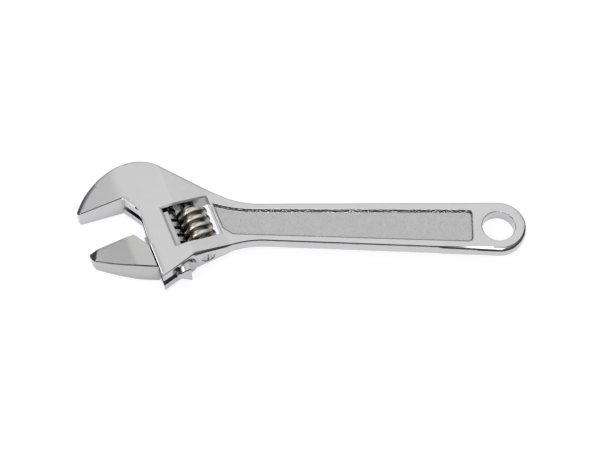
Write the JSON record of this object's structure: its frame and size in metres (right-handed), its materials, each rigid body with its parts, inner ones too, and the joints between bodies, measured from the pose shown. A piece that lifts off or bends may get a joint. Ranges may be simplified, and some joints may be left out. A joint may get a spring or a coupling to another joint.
{
  "type": "adjustable wrench",
  "caption": "Adjustable wrench with a worm-driven sliding jaw, a round rack rod in a keyhole slot, and a flat handle with a hang hole.",
  "frame": {"origin": "axis of the hang hole in the mid-plane of the wrench, halfway between its two faces", "axes": "+X along the handle from the head towards the tail, +Z along the hang hole out of the upper face, +Y towards the fixed jaw's side"},
  "size_m": [0.1592, 0.0465, 0.0118],
  "materials": {
    "chrome": "satin chrome plate over a forging",
    "nickel": "nickel plate, slightly warm",
    "pin_steel": "plated screw steel",
    "spring_steel": "drawn spring wire"
  },
  "bodies": {
    "body": {"body": "chrome", "worm_pin": "pin_steel", "worm_spring": "spring_steel"},
    "jaw": {"movable_jaw": "chrome"},
    "worm": {"worm": "nickel"}
  },
  "joints": [
    {"name": "worm_turn", "type": "hinge", "parent": "body", "child": "worm", "pos_m": [-0.10749, -0.00047, 0], "axis": [-0.3827, 0.9239, 0], "range_deg": [-1739, 507]},
    {"name": "jaw_slide", "type": "slide", "parent": "body", "child": "jaw", "axis": [0.3827, -0.9239, 0], "range_m": [-0.01545, 0.0045]}
  ],
  "couplings": [
    {"joint": "worm_turn", "follows": "jaw_slide", "rad_per_m": 1963.5}
  ]
}
